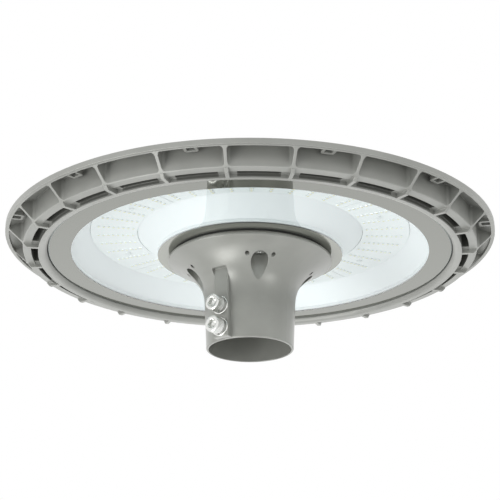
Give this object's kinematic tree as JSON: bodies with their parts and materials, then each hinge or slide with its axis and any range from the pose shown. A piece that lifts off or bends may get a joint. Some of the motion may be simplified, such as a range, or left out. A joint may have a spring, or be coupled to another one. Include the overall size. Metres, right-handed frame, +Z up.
{
  "type": "led street light head",
  "caption": "Round post-top LED street light head with a ribbed cast rim, domed cover, flat glass ring and a bored post collar with clamp bolts.",
  "frame": {"origin": "centre of the post collar's mouth", "axes": "+Z up along the post towards the dome, the clamp bolts look along -Y"},
  "size_m": [0.48, 0.48, 0.157],
  "materials": {
    "grey_paint": "die cast, powder coated in satin grey",
    "collar_paint": "die cast, powder coated in satin grey, bare metal at the mouth",
    "dark_seal": "matt black rubber",
    "glass_bond": "grey silicone",
    "lens_glass": "tempered clear glass with grey printed borders",
    "white_reflector": "white painted sheet",
    "board_white": "white solder mask",
    "stainless": "turned, satin",
    "bright_zinc": "bright zinc plate",
    "tray_steel": "galvanised sheet",
    "driver_case": "satin",
    "terminal_plastic": "moulded",
    "surge_plastic": "moulded",
    "gland_plastic": "moulded",
    "brass_screw": "turned"
  },
  "bodies": {
    "root": {"board_screws": "stainless", "breather_valve": "gland_plastic", "cable_gland": "gland_plastic", "clamp_bolts": "bright_zinc", "collar_gasket": "dark_seal", "collar_screws": "stainless", "collar_washers": "stainless", "cover_gasket": "dark_seal", "cover_screws": "stainless", "driver": "driver_case", "driver_screws": "stainless", "driver_tray": "tray_steel", "earth_screw": "brass_screw", "flat_washers": "bright_zinc", "gland_nut": "gland_plastic", "inner_glass_seal": "glass_bond", "inner_reflector": "white_reflector", "led_board_1": "board_white", "led_board_2": "board_white", "led_board_3": "board_white", "led_board_4": "board_white", "lens_glass": "lens_glass", "lower_housing": "grey_paint", "outer_glass_seal": "glass_bond", "outer_reflector": "white_reflector", "pole_collar": "collar_paint", "reflector_screws": "stainless", "spring_washers": "bright_zinc", "surge_protector": "surge_plastic", "terminal_block": "terminal_plastic", "top_cover": "grey_paint", "tray_screws": "stainless"}
  },
  "joints": []
}
